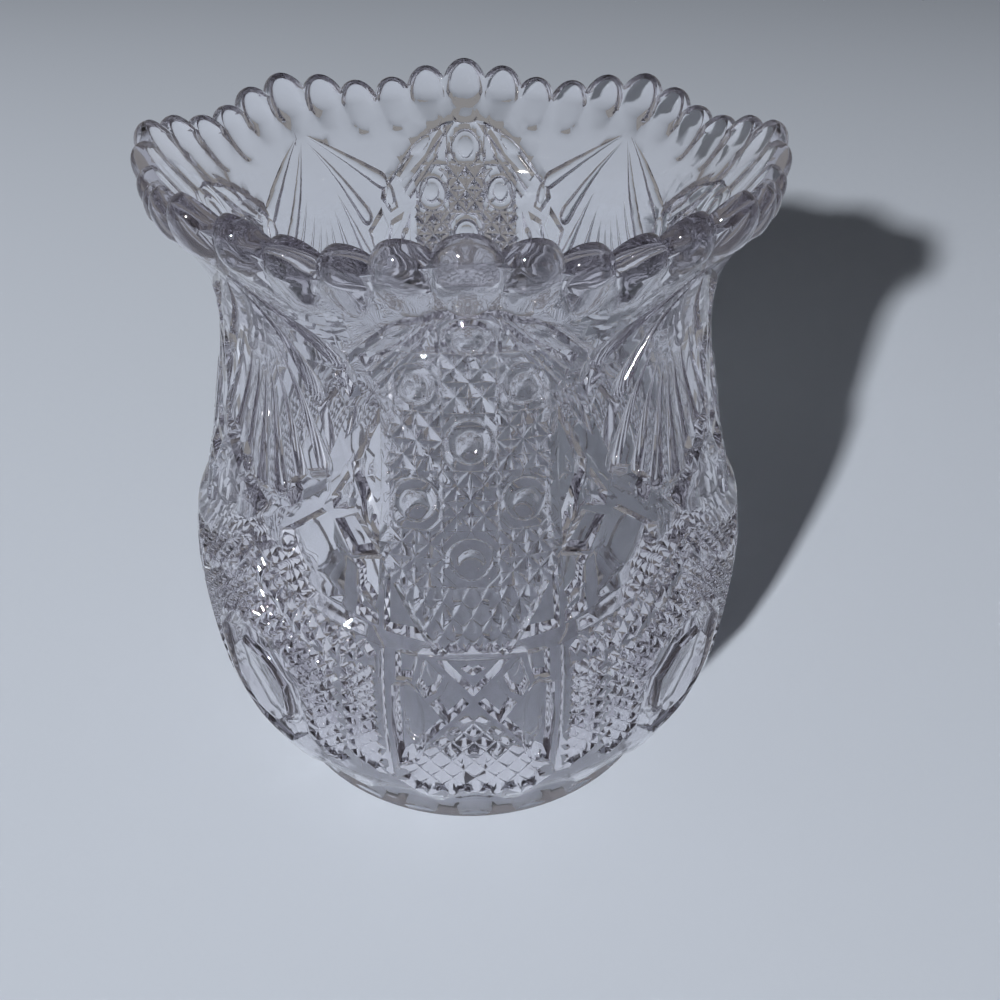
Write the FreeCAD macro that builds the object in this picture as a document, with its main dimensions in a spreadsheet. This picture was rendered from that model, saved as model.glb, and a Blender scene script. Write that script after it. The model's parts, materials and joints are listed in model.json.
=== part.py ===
import FreeCAD, Part
import os
import re
import Sketcher
from FreeCAD import Placement, Rotation, Vector

# A cut glass vase: a round-bellied body with a flared mouth, eight lobes of rounded beads
# round the lip, four arched button panels, four fluted fans between them, a swagged band
# round the shoulder, and crossed ribs and framed lenses on the belly, over a scalloped
# foot. The axis is Z, the vase stands on Z = 0, and the first panel faces -Y.

SIZES = {
    # foot and floor
    "base_height": 10.0,
    "floor_radius": 38.0,
    "floor_underside": 3.0,
    "foot_radius": 46.8,
    "foot_waist_radius": 45.8,
    "foot_waist_height": 4.0,
    "foot_top_radius": 46.4,
    "notch_width": 5.0,
    "notch_depth": 0.9,
    "scoop_radius": 20.0,
    "scoop_offset": 17.7,
    "scoop_height": 8.7,
    # outer face of the wall, from the foot up to the lip
    "foot_seat_radius": 46.0,
    "underbelly_radius": 51.8,
    "underbelly_height": 13.2,
    "belly_start_radius": 54.2,
    "belly_start_height": 19.0,
    "belly_radius": 56.0,
    "belly_height": 42.0,
    "shoulder_radius": 53.9,
    "shoulder_height": 60.0,
    "throat_radius": 45.2,
    "throat_height": 96.0,
    "neck_radius": 44.6,
    "neck_height": 104.5,
    "flare_radius": 50.3,
    "flare_height": 119.0,
    "lip_radius": 53.2,
    "lip_height": 124.6,
    # inner face of the wall
    "wall_thickness": 5.0,
    "lip_run": 2.4,
    "lip_rise": 1.35,
    "well_corner_radius": 46.0,
    "well_corner_height": 13.4,
    # lobed edge and its beads
    "lobe_drop": 4.8,
    "lobe_mid_drop": 1.4,
    "bead_inset": 1.3,
    "bead_rise": 0.4,
    "near_bead_inset": 1.0,
    "near_bead_drop": 1.2,
    "far_bead_inset": 1.9,
    "far_bead_drop": 2.9,
    "peak_bead_radius": 4.6,
    "near_bead_radius": 4.6,
    "far_bead_radius": 3.88,
    # how far the pattern stands out from the wall, and how deep it is cut
    "belly_relief": 2.0,
    "upper_relief": 0.8,
    "lens_sink": 1.5,
    "groove_sink": 0.5,
    "overrun": 2.0,
    # arch over a panel
    "arch_drop": 6.2,
    "arch_width": 2.4,
    "arch_groove_width": 0.8,
    "arch_corner_x": 18.2,
    "arch_corner_drop": 15.9,
    # button panel
    "cell_width": 8.6,
    "cell_height": 9.2,
    "grid_bottom": 71.0,
    "panel_top_half": 4.4,
    "panel_top_drop": 9.1,
    "panel_corner_height": 102.2,
    "panel_foot_half": 6.7,
    "button_radius": 2.8,
    "groove_width": 0.9,
    # ribbons beside a panel
    "ribbon_width": 2.2,
    "ribbon_knee_x": 20.0,
    "ribbon_knee_height": 89.0,
    "ribbon_bend_x": 29.0,
    "ribbon_bend_height": 78.0,
    "ribbon_end_x": 39.0,
    "ribbon_end_height": 70.0,
    "ribbon_tail_x": 24.0,
    "ribbon_tail_height": 97.0,
    # fluted fan
    "fan_tip_drop": 7.6,
    "fan_shoulder_x": 7.6,
    "fan_shoulder_drop": 11.4,
    "fan_half": 12.0,
    "fan_tip_half": 4.0,
    "fan_side_height": 109.4,
    "fan_side_foot_height": 95.0,
    "fan_foot_x": 6.0,
    "fan_foot_height": 86.0,
    "fan_bottom_height": 82.0,
    "flute_width": 1.9,
    "flute_top_drop": 12.0,
    # swagged band round the shoulder
    "band_depth": 5.0,
    "band_low_height": 59.8,
    "band_end_x": 40.0,
    "band_end_height": 73.8,
    # crossed ribs under a panel
    "cross_height": 51.5,
    "cross_top_x": 7.2,
    "cross_foot_x": 13.4,
    "cross_foot_height": 31.5,
    "cross_width": 1.8,
    "upright_x": 15.0,
    "upright_width": 2.8,
    # raised fields of the belly, between the uprights and the lenses
    "field_foot_height": 23.0,
    # framed lens
    "lens_height": 37.0,
    "lens_half": 12.2,
    "lens_half_height": 15.2,
    "lens_flat_half": 5.6,
    "lens_frame": 0.7,
    "lens_channel": 4.2,
}

LOBES = 8
BEADS_PER_LOBE = 5
BEAD_PITCH = 360 / (LOBES * BEADS_PER_LOBE)
PANELS = 4
PANEL_PITCH = 360 / PANELS
SCALLOPS = 24
FLUTE_FOOT_SHARES = (0.12, 0.38, 0.64, 0.9)

doc = FreeCAD.newDocument("cut_glass_vase")
sheet = doc.addObject("Spreadsheet::Sheet", "sizes")
for row, (alias, size) in enumerate(SIZES.items(), start=1):
    sheet.set("A%d" % row, alias)
    sheet.set("B%d" % row, str(size))
    sheet.setAlias("B%d" % row, alias)
doc.recompute()

# The wall's outer face as corners, and points on arcs with their corners. The pattern lies
# on the same curve, so its shells are drawn from it with a relief added to each radius.
OUTER_CURVE = [
    ("foot_seat_radius", "base_height"),
    ("underbelly_radius", "underbelly_height", "belly_start_radius", "belly_start_height"),
    ("belly_radius", "belly_height", "shoulder_radius", "shoulder_height"),
    ("throat_radius", "throat_height"),
    ("neck_radius", "neck_height", "flare_radius", "flare_height"),
    ("lip_radius", "lip_height"),
]


def tied(formula):
    """Puts the sheet's name before each of its sizes in a formula."""

    def named(word):
        return "sizes." + word.group() if word.group() in SIZES else word.group()

    return re.sub(r"[a-z_]+", named, formula)


def bind(item, **formulas):
    for name, formula in formulas.items():
        item.setExpression(name, tied(formula))


def negative(formula):
    return formula if formula == "0" else "-(%s)" % formula


def mirrored(right_side):
    """Closes an outline whose right side is listed from top to foot."""
    return right_side + [(negative(x), z) for x, z in reversed(right_side) if x != "0"]


def strip(points, width, across_z=False):
    """A bar of one width along a line of points, widened across X or across Z."""
    half = "(%s) / 2" % width

    def moved(sign):
        if across_z:
            return [(x, "%s %s %s" % (z, sign, half)) for x, z in points]
        return [("%s %s %s" % (x, sign, half), z) for x, z in points]

    return moved("+") + moved("-")[::-1]


def flipped(loop):
    return [(negative(x), z) for x, z in loop]


def pin(sketch, geometry, position, corner):
    """Ties a point to two formulas, or to an axis where the formula is 0."""
    for kind, axis, formula in zip(("DistanceX", "DistanceY"), (-2, -1), corner):
        if formula == "0":
            sketch.addConstraint(Sketcher.Constraint("PointOnObject", geometry, position, axis))
            continue
        value = sketch.evalExpression(tied(formula))
        index = sketch.addConstraint(
            Sketcher.Constraint(kind, -1, 1, geometry, position, float(value)))
        sketch.setExpression("Constraints[%d]" % index, tied(formula))


def point_at(sketch, corner):
    x, y = (float(sketch.evalExpression(tied(formula))) for formula in corner)
    return Vector(x, y, 0)


def draw_loop(sketch, steps):
    """Draws a closed outline. A step is a corner, or a point on an arc and then its corner."""
    corners = [step[-2:] for step in steps]
    pieces = []
    for step, start, end in zip(steps, corners[-1:] + corners[:-1], corners):
        here = point_at(sketch, start)
        there = point_at(sketch, end)
        if len(step) == 2:
            line = sketch.addGeometry(Part.LineSegment(here, there), False)
            pieces.append((line, 1, 2))
            continue
        middle = point_at(sketch, step[:2])
        turns_left = (middle - here).cross(there - here).z > 0
        ends = (here, middle, there) if turns_left else (there, middle, here)
        arc = sketch.addGeometry(Part.Arc(*ends), False)
        pieces.append((arc, 1, 2) if turns_left else (arc, 2, 1))
        mark = sketch.addGeometry(Part.Point(middle), True)
        pin(sketch, mark, 1, step[:2])
        sketch.addConstraint(Sketcher.Constraint("PointOnObject", mark, 1, arc))
    for piece, following, corner in zip(pieces, pieces[1:] + pieces[:1], corners):
        sketch.addConstraint(
            Sketcher.Constraint("Coincident", piece[0], piece[2], following[0], following[1]))
        pin(sketch, piece[0], piece[2], corner)


def body_sketch(body, name, plane, turn=Rotation()):
    sketch = body.newObject("Sketcher::SketchObject", name)
    support = next(item for item in body.Origin.OriginFeatures if item.Role == plane)
    sketch.AttachmentSupport = [(support, "")]
    sketch.MapMode = "FlatFace"
    sketch.AttachmentOffset = Placement(Vector(), turn)
    return sketch


def round_pattern(body, cutter, count, name):
    pattern = body.newObject("PartDesign::PolarPattern", name)
    axis = next(item for item in body.Origin.OriginFeatures if item.Role == "Z_Axis")
    pattern.Originals = [cutter]
    pattern.Axis = (axis, [""])
    pattern.Angle = 360
    pattern.Occurrences = count
    body.Tip = pattern
    return pattern


def prism(name, loops, degrees=0):
    """Upright outlines, carried from the axis out through the wall, at an angle round it."""
    round_axis = Rotation(Vector(0, 0, 1), degrees)
    sketch = doc.addObject("Sketcher::SketchObject", name + "_outline")
    sketch.Placement = Placement(Vector(), round_axis * Rotation(Vector(1, 0, 0), 90))
    for loop in loops:
        draw_loop(sketch, loop)
    solid = doc.addObject("Part::Extrusion", name)
    solid.Base = sketch
    solid.DirMode = "Custom"
    solid.Dir = round_axis * Vector(0, -1, 0)
    solid.Solid = True
    bind(solid, LengthFwd="2 * lip_radius")
    return solid


def eye(name, x, z):
    """A round bar that points out through the front of the vase."""
    bar = doc.addObject("Part::Cylinder", name)
    bar.Placement = Placement(Vector(), Rotation(Vector(1, 0, 0), 90))
    bar.setExpression("Placement.Base.x", tied(x))
    bar.setExpression("Placement.Base.z", tied(z))
    bind(bar, Radius="button_radius", Height="2 * lip_radius")
    return bar


def fused(name, pieces):
    joined = doc.addObject("Part::MultiFuse", name)
    joined.Shapes = pieces
    return joined


def common(name, base, tool):
    overlap = doc.addObject("Part::Common", name)
    overlap.Base = base
    overlap.Tool = tool
    return overlap


def cut(name, base, tool):
    rest = doc.addObject("Part::Cut", name)
    rest.Base = base
    rest.Tool = tool
    return rest


def placed_round(name, base, tool, count, offset=0):
    """The same cut, set at equal angles round the axis, each a node of its own."""
    nodes = []
    for index in range(count):
        node = cut("%s_%d" % (name, index + 1), base, tool)
        degrees = offset + index * 360 / count
        node.Placement = Placement(Vector(), Rotation(Vector(0, 0, 1), degrees))
        nodes.append(node)
    return nodes


def pushed_out(relief):
    """The wall's outer curve with a relief added to each radius."""
    moved = []
    for step in OUTER_CURVE:
        shifted = []
        for r, z in zip(step[::2], step[1::2]):
            shifted += ["%s + %s" % (r, relief), z]
        moved.append(tuple(shifted))
    return moved


def turned_back(curve):
    """The same curve run from its end to its start."""
    back = [curve[-1][-2:]]
    for step, corner in zip(curve[:0:-1], [step[-2:] for step in curve[-2::-1]]):
        back.append(step[:-2] + corner)
    return back


def quarter_shell(name, inner_relief, outer_relief):
    """A quarter of a skin over the wall, between two heights of relief, facing -Y."""
    section = doc.addObject("Sketcher::SketchObject", name + "_section")
    section.Placement = Placement(
        Vector(), Rotation(Vector(0, -1, 0), Vector(0, 0, 1), Vector(-1, 0, 0), "XYZ"))
    draw_loop(section, pushed_out(outer_relief) + turned_back(pushed_out(inner_relief)))
    skin = doc.addObject("Part::Revolution", name)
    skin.Source = section
    skin.Axis = Vector(0, 0, 1)
    skin.Angle = PANEL_PITCH
    skin.Symmetric = True
    skin.Solid = True
    return skin


def make_vessel_wall():
    """The round wall, open at both ends: its edge cut into lobes, its underside fluted."""
    body = doc.addObject("PartDesign::Body", "vessel_wall")
    section = body_sketch(body, "wall_section", "XZ_Plane")
    inner_curve = [
        ("lip_radius - lip_run", "lip_height + lip_rise"),
        ("flare_radius - wall_thickness", "flare_height"),
        ("neck_radius - wall_thickness", "neck_height",
         "throat_radius - wall_thickness", "throat_height"),
        ("shoulder_radius - wall_thickness", "shoulder_height"),
        ("belly_radius - wall_thickness", "belly_height",
         "belly_start_radius - wall_thickness", "belly_start_height"),
        ("well_corner_radius", "well_corner_height", "floor_radius", "base_height"),
    ]
    draw_loop(section, OUTER_CURVE + inner_curve)
    turned = body.newObject("PartDesign::Revolution", "wall_turned")
    turned.Profile = section
    turned.ReferenceAxis = (section, ["V_Axis"])
    turned.Angle = 360
    doc.recompute()

    half_turn = 180 / LOBES
    valley = body_sketch(body, "lobe_valley", "XZ_Plane", Rotation(Vector(0, 1, 0), half_turn))
    half = "lip_radius * sin(%s deg)" % half_turn
    middle = "(%s) / 2" % half
    peak = "lip_height + lip_rise"
    draw_loop(valley, [
        (half, peak + " + overrun"),
        (negative(half), peak + " + overrun"),
        (negative(half), peak),
        (negative(middle), peak + " - lobe_mid_drop", "0", peak + " - lobe_drop"),
        (middle, peak + " - lobe_mid_drop", half, peak),
    ])
    pocket = body.newObject("PartDesign::Pocket", "lobe_cut")
    pocket.Profile = valley
    pocket.Type = "Length"
    pocket.Reversed = False
    bind(pocket, Length="2 * lip_radius")
    doc.recompute()
    lobed = round_pattern(body, pocket, LOBES, "lobed_edge")
    doc.recompute()
    if lobed.Shape.Volume >= turned.Shape.Volume:
        raise RuntimeError("the lobed edge was not cut")

    scoop = body.newObject("PartDesign::SubtractiveSphere", "underside_scoop")
    plane = next(item for item in body.Origin.OriginFeatures if item.Role == "XY_Plane")
    scoop.AttachmentSupport = [(plane, "")]
    scoop.MapMode = "FlatFace"
    bind(scoop, Radius="scoop_radius")
    scoop.setExpression("AttachmentOffset.Base.y", tied("-(underbelly_radius + scoop_offset)"))
    scoop.setExpression("AttachmentOffset.Base.z", tied("scoop_height"))
    doc.recompute()
    round_pattern(body, scoop, SCALLOPS, "scoops")
    doc.recompute()
    if body.Shape.Volume >= lobed.Shape.Volume:
        raise RuntimeError("the scoops were not cut")
    return body


def make_vessel_floor():
    """The round floor inside the foot, clear of the table."""
    floor = doc.addObject("Part::Cylinder", "vessel_floor")
    bind(floor, Radius="floor_radius", Height="base_height - floor_underside")
    floor.setExpression("Placement.Base.z", tied("floor_underside"))
    return floor


def make_foot_ring():
    """The waisted ring that the vase stands on, notched into scallops."""
    body = doc.addObject("PartDesign::Body", "foot_ring")
    section = body_sketch(body, "foot_section", "XZ_Plane")
    draw_loop(section, [
        ("floor_radius", "0"),
        ("foot_radius", "0"),
        ("foot_waist_radius", "foot_waist_height", "foot_top_radius", "base_height"),
        ("floor_radius", "base_height"),
    ])
    turned = body.newObject("PartDesign::Revolution", "foot_turned")
    turned.Profile = section
    turned.ReferenceAxis = (section, ["V_Axis"])
    turned.Angle = 360
    doc.recompute()

    notch = body_sketch(body, "foot_notch", "XY_Plane",
                        Rotation(Vector(0, 0, 1), 180 / SCALLOPS))
    draw_loop(notch, [
        ("foot_waist_radius - notch_depth", "0"),
        ("foot_radius + notch_depth", "notch_width / 2"),
        ("foot_radius + notch_depth", "-(notch_width / 2)"),
    ])
    pocket = body.newObject("PartDesign::Pocket", "scallop_cut")
    pocket.Profile = notch
    pocket.Type = "Length"
    pocket.Reversed = True
    bind(pocket, Length="base_height")
    doc.recompute()
    round_pattern(body, pocket, SCALLOPS, "scallops")
    doc.recompute()
    if body.Shape.Volume >= turned.Shape.Volume:
        raise RuntimeError("the scallops were not cut")
    return body


def make_bead(step, size, inset, drop):
    """One round bead on the edge, a number of steps from the peak of its lobe."""
    bead = doc.addObject("Part::Sphere", "bead_%d" % (step + BEADS_PER_LOBE // 2 + 1))
    bind(bead, Radius=size)
    angle = "%s deg" % (step * BEAD_PITCH)
    radius = "(lip_radius - bead_inset - %s)" % inset
    bead.setExpression("Placement.Base.x", tied("%s * sin(%s)" % (radius, angle)))
    bead.setExpression("Placement.Base.y", tied("-%s * cos(%s)" % (radius, angle)))
    bead.setExpression("Placement.Base.z", tied("lip_height + bead_rise - %s" % drop))
    return bead


def make_rim_lobes(wall):
    """Five beads to a lobe, the tallest in its middle, wrapped over the wall's edge."""
    by_distance = {
        0: ("peak_bead_radius", "0", "0"),
        1: ("near_bead_radius", "near_bead_inset", "near_bead_drop"),
        2: ("far_bead_radius", "far_bead_inset", "far_bead_drop"),
    }
    reach = BEADS_PER_LOBE // 2
    beads = [make_bead(step, *by_distance[abs(step)]) for step in range(-reach, reach + 1)]
    return placed_round("rim_lobe", fused("lobe_beads", beads), wall, LOBES)


def make_shoulder_band(belly_shell):
    """The swagged band: it hangs low under each panel and rises between the panels."""
    end = "band_end_x"
    outline = prism("band_prism", [[
        ("0", "band_low_height", end, "band_end_height"),
        (end, "band_end_height - band_depth"),
        ("0", "band_low_height - band_depth", negative(end), "band_end_height - band_depth"),
        (negative(end), "band_end_height"),
    ]])
    nodes = []
    for index in range(PANELS):
        node = common("shoulder_band_%d" % (index + 1), belly_shell, outline)
        node.Placement = Placement(Vector(), Rotation(Vector(0, 0, 1), index * PANEL_PITCH))
        nodes.append(node)
    return nodes


def make_arch_ridges(upper_shell, upper_grooves):
    """The double ridge that arches over a panel."""

    def arch(outer, inner):
        half = "(arch_corner_x - %s)"
        top = "lip_height - arch_drop - %s"
        corner = "lip_height - arch_corner_drop"
        return [
            ("0", top % outer, half % outer, corner),
            (half % inner, corner),
            ("0", top % inner, negative(half % inner), corner),
            (negative(half % outer), corner),
        ]

    ridge = common("arch_ridge", upper_shell, prism("arch_prism", [arch("0", "arch_width")]))
    lip = "(arch_width - arch_groove_width) / 2"
    groove = prism("arch_groove_prism", [arch(lip, "(arch_width + arch_groove_width) / 2")])
    return placed_round("arch_ridge", ridge, common("arch_groove", upper_grooves, groove), PANELS)


def make_button_panels(upper_shell, upper_grooves, band):
    """The tall panel: round buttons and starred cells in turn, three cells wide."""
    half = "1.5 * cell_width"
    outline = prism("panel_prism", [mirrored([
        ("panel_top_half", "lip_height - panel_top_drop"),
        (half, "panel_corner_height"),
        (half, "grid_bottom"),
        ("panel_foot_half", "band_low_height - band_depth / 2"),
    ])])
    slab = common("panel_slab", upper_shell, outline)

    def row(number):
        return "grid_bottom + %s * cell_height" % number

    sides = ("-(%s)" % half, half)
    rows = [strip([(side, row(number)) for side in sides], "groove_width", across_z=True)
            for number in range(5)]
    edge = "cell_width / 2"
    column = strip([(edge, row(5)), (edge, "band_low_height")], "groove_width")
    rising = [
        strip([(negative(half), row(0)), (half, row(3))], "groove_width"),
        strip([(negative(half), row(2)), (edge, row(4))], "groove_width"),
        strip([(edge, row(0)), (half, row(1))], "groove_width"),
    ]
    grooves = [
        prism("row_grooves", rows),
        prism("column_grooves", [column, flipped(column)]),
        prism("rising_grooves", rising),
        prism("falling_grooves", [flipped(loop) for loop in rising]),
    ]
    buttons = [eye("button_%d" % number, "0", row(number + 0.5)) for number in (0, 2, 4)]
    for number in (1, 3):
        buttons.append(eye("right_button_%d" % number, "cell_width", row(number + 0.5)))
        buttons.append(eye("left_button_%d" % number, "-cell_width", row(number + 0.5)))
    cuts = common("panel_cuts", upper_grooves, fused("panel_cutters", grooves + buttons))
    carved = cut("panel_carved", slab, cuts)
    return placed_round("button_panel", carved, band, PANELS)


def make_side_ribbons(upper_shell, band):
    """Crossed ribbons on both sides of a panel, the long one running down to the band."""
    start = "1.5 * cell_width + ribbon_width / 2"
    knee = ("ribbon_knee_x", "ribbon_knee_height")
    long_ribbon = strip([
        (start, "panel_corner_height"), knee,
        ("ribbon_bend_x", "ribbon_bend_height"), ("ribbon_end_x", "ribbon_end_height"),
    ], "ribbon_width")
    short_ribbon = strip([
        (start, "grid_bottom"), knee, ("ribbon_tail_x", "ribbon_tail_height"),
    ], "ribbon_width")
    bars = fused("ribbon_prisms", [
        prism("long_ribbons", [long_ribbon, flipped(long_ribbon)]),
        prism("short_ribbons", [short_ribbon, flipped(short_ribbon)]),
    ])
    return placed_round("side_ribbons", common("ribbon_slab", upper_shell, bars), band, PANELS)


def make_fans(upper_shell, upper_grooves):
    """The pointed fan between two panels, with flutes that spread from its tip."""
    outline = prism("fan_prism", [mirrored([
        ("0", "lip_height - fan_tip_drop"),
        ("fan_shoulder_x", "lip_height - fan_shoulder_drop"),
        ("fan_half", "fan_side_height"),
        ("fan_half", "fan_side_foot_height"),
        ("fan_foot_x", "fan_foot_height"),
        ("0", "fan_bottom_height"),
    ])])
    slab = common("fan_slab", upper_shell, outline)
    flutes = []
    for share in FLUTE_FOOT_SHARES:
        foot_x = "%s * fan_half" % share
        top_x = "%s * fan_tip_half" % share
        foot_z = "fan_foot_height + %s * (fan_side_foot_height - fan_foot_height)" % share ** 2
        flute = [
            (top_x, "lip_height - flute_top_drop"),
            (foot_x + " + flute_width / 2", foot_z),
            (foot_x + " - flute_width / 2", foot_z),
        ]
        flutes += [flute, flipped(flute)]
    cuts = common("flute_cuts", upper_grooves, prism("flute_prisms", flutes))
    return placed_round("fluted_fan", slab, cuts, PANELS, PANEL_PITCH / 2)


def make_crossed_ribs(belly_shell, band):
    """An X of ribs over a raised field, between two uprights hung from the shoulder band."""
    crossing = strip([
        ("-cross_top_x", "band_low_height"), ("0", "cross_height"),
        ("cross_foot_x", "cross_foot_height"),
    ], "cross_width")
    upright = strip([
        ("upright_x", "band_low_height"), ("upright_x", "field_foot_height"),
    ], "upright_width")
    field = mirrored([
        ("0", "cross_height"),
        ("cross_foot_x", "cross_foot_height"),
        ("cross_foot_x", "field_foot_height"),
    ])
    bars = fused("rib_prisms", [
        prism("falling_rib", [crossing]),
        prism("rising_rib", [flipped(crossing)]),
        prism("uprights", [upright, flipped(upright)]),
        prism("low_field", [field]),
    ])
    return placed_round("crossed_ribs", common("rib_slab", belly_shell, bars), band, PANELS)


def lens_outline(inset):
    top = "lens_half_height - %s" % inset
    side = "lens_half - %s" % inset
    flat = "lens_flat_half - %s / 2" % inset
    return mirrored([
        (flat, "lens_height + " + top),
        (side, "lens_height + lens_flat_half"),
        (side, "lens_height - lens_flat_half"),
        (flat, "lens_height - (%s)" % top),
    ])


def make_lenses(belly_shell, lens_sinks):
    """The long lens between two panels: an island in a channel inside its frame."""
    frame = common("lens_slab", belly_shell, prism("lens_prism", [lens_outline("0")]))
    channel = prism("lens_channel_prism", [
        lens_outline("lens_frame"), lens_outline("(lens_frame + lens_channel)")])
    return placed_round("framed_lens", frame, common("lens_cut", lens_sinks, channel),
                        PANELS, PANEL_PITCH / 2)


def make_belly_fields(belly_shell, band):
    """The raised ground between the uprights and the lenses, under the shoulder band."""
    near = "upright_x + upright_width / 2"
    side = [
        (near, "band_low_height"),
        ("band_end_x", "band_end_height - band_depth / 2"),
        ("band_end_x", "field_foot_height"),
        (near, "field_foot_height"),
    ]
    field = common("field_slab", belly_shell, prism("field_prism", [side, flipped(side)]))
    holes = [prism("lens_hole_%d" % number, [lens_outline("0")], degrees)
             for number, degrees in enumerate((-PANEL_PITCH / 2, PANEL_PITCH / 2), start=1)]
    framing = cut("field_framing", field, fused("lens_holes", holes))
    return placed_round("belly_fields", framing, band, PANELS)


wall = make_vessel_wall()
belly_shell = quarter_shell("belly_shell", "0", "belly_relief")
lens_sinks = quarter_shell("lens_sinks", "belly_relief - lens_sink", "belly_relief + overrun")
upper_shell = quarter_shell("upper_shell", "0", "upper_relief")
upper_grooves = quarter_shell("upper_grooves", "upper_relief - groove_sink",
                              "upper_relief + overrun")

nodes = [wall, make_vessel_floor(), make_foot_ring()]
nodes += make_rim_lobes(wall)
bands = make_shoulder_band(belly_shell)
nodes += bands
nodes += make_arch_ridges(upper_shell, upper_grooves)
nodes += make_button_panels(upper_shell, upper_grooves, bands[0])
nodes += make_side_ribbons(upper_shell, bands[0])
nodes += make_fans(upper_shell, upper_grooves)
nodes += make_crossed_ribs(belly_shell, bands[0])
nodes += make_lenses(belly_shell, lens_sinks)
nodes += make_belly_fields(belly_shell, bands[0])
doc.recompute()

for item in doc.Objects:
    if "Invalid" in item.State or "Error" in item.State:
        raise RuntimeError("%s failed: %s" % (item.Label, item.State))

os.makedirs("parts", exist_ok=True)
for node in nodes:
    if node.Shape.isNull() or not node.Shape.isValid() or not node.Shape.Solids:
        raise RuntimeError("%s has no valid solid" % node.Label)
    node.Shape.exportStep("parts/%s.step" % node.Label)
    print("%-20s %2d solids %10.1f mm3" % (node.Label, len(node.Shape.Solids), node.Shape.Volume))
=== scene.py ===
import bpy
import json
from bisect import bisect_right
from math import atan2, ceil, cos, hypot, pi, radians, sin
from mathutils import Matrix, Vector

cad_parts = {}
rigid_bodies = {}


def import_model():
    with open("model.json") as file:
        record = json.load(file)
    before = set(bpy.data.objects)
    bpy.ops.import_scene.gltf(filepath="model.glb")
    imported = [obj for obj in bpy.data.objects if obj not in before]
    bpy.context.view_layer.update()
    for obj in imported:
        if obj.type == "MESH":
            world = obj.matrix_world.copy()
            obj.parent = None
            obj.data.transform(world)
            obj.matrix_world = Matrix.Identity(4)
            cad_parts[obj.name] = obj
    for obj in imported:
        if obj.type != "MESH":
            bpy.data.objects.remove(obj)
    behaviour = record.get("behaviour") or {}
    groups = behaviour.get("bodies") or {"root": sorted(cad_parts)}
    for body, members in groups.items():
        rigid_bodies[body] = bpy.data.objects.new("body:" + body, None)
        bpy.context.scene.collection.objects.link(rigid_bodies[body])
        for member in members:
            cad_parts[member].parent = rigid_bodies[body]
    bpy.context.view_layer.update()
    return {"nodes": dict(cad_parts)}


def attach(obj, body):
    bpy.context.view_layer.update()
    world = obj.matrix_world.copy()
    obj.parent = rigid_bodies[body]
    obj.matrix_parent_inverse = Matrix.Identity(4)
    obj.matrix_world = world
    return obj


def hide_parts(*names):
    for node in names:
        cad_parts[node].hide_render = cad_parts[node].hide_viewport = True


# A cut glass vase. The whole vase is one piece of glass, so it is one closed mesh. Its cutting
# is done on a flat blank, half a panel wide, where x is the angle round the vase in degrees,
# y the height and z the relief in millimetres. The cut blank is mirrored, repeated and bent
# round the axis, then joined to a turned liner that holds the smooth inside, the floor and the
# foot, and to the beads of the rim. The first arched panel faces -Y, at an angle of 0.

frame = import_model()
cad_nodes = list(frame["nodes"])

MILLIMETRE = 0.001
LOBES = 8
PANELS = 4
# Degrees from the middle of a panel to the middle of a fan, which is the width of the blank.
HALF_PANEL = 45
# Outlines of cutters run past the blank's two sides and its top to here.
BEFORE, BEYOND, ABOVE = -4, 52, 150

# Height and radius of the outermost ridges, and of the smooth inside.
OUTSIDE = [(0, 46.7), (4, 45.9), (9, 46.9), (13.2, 51.0), (18.5, 54.9), (25, 56.9), (32, 57.7),
           (42, 58.0), (50, 57.8), (56, 57.0), (60, 56.1), (67, 54.6), (76, 52.2), (86, 49.6),
           (96, 47.3), (103, 46.7), (109, 47.2), (115, 49.6), (119.5, 52.1), (124.6, 54.9),
           (130, 58.0)]
INSIDE = [(10.0, 37.0), (11.4, 42.5), (14.5, 46.6), (19, 49.2), (30, 50.6), (42, 51.0),
          (52, 50.2), (60, 48.6), (72, 45.7), (84, 42.7), (96, 40.0), (103, 39.4), (109, 40.4),
          (115, 43.0), (119.5, 45.8), (124, 48.8), (130, 53.0)]

# Relief of the ground above the shoulder ledge. Below the ledge the ground is at 0.
UPPER = -1.7
# The shoulder ledge that hangs in swags.
LEDGE = [(0, 59.3), (8, 59.7), (15.4, 60.7), (20, 62.3), (25, 63.7), (30, 65.2), (37, 68.5),
         (45, 71.6)]


def select_none():
    bpy.ops.object.select_all(action="DESELECT")


def only(piece):
    """Selects one piece and nothing else."""
    select_none()
    piece.select_set(True)
    bpy.context.view_layer.objects.active = piece


def finish_with(piece, kind, **settings):
    """Adds a modifier, sets it and applies it."""
    only(piece)
    modifier = piece.modifiers.new(kind.lower(), kind)
    for name, setting in settings.items():
        setattr(modifier, name, setting)
    bpy.ops.object.modifier_apply(modifier=modifier.name)


def settle():
    """Moves the active piece's place, turn and size into its mesh."""
    bpy.ops.object.transform_apply(location=True, rotation=True, scale=True)


def drop(piece):
    bpy.data.objects.remove(piece, do_unlink=True)


def radius_at(profile, height):
    """Radius of a profile at a height, on a smooth curve through its points."""
    heights = [z for z, _ in profile]
    place = min(max(bisect_right(heights, height) - 1, 0), len(profile) - 2)

    def slope(index):
        low = profile[max(index - 1, 0)]
        high = profile[min(index + 1, len(profile) - 1)]
        return (high[1] - low[1]) / (high[0] - low[0])

    (z0, r0), (z1, r1) = profile[place], profile[place + 1]
    run = z1 - z0
    t = (height - z0) / run
    return ((2 * t ** 3 - 3 * t ** 2 + 1) * r0 + (t ** 3 - 2 * t ** 2 + t) * run * slope(place)
            + (3 * t ** 2 - 2 * t ** 3) * r1 + (t ** 3 - t ** 2) * run * slope(place + 1))


# Cutters for the flat blank ------------------------------------------------------------------

cutters = bpy.data.collections.new("cutters")
bpy.context.scene.collection.children.link(cutters)


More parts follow.
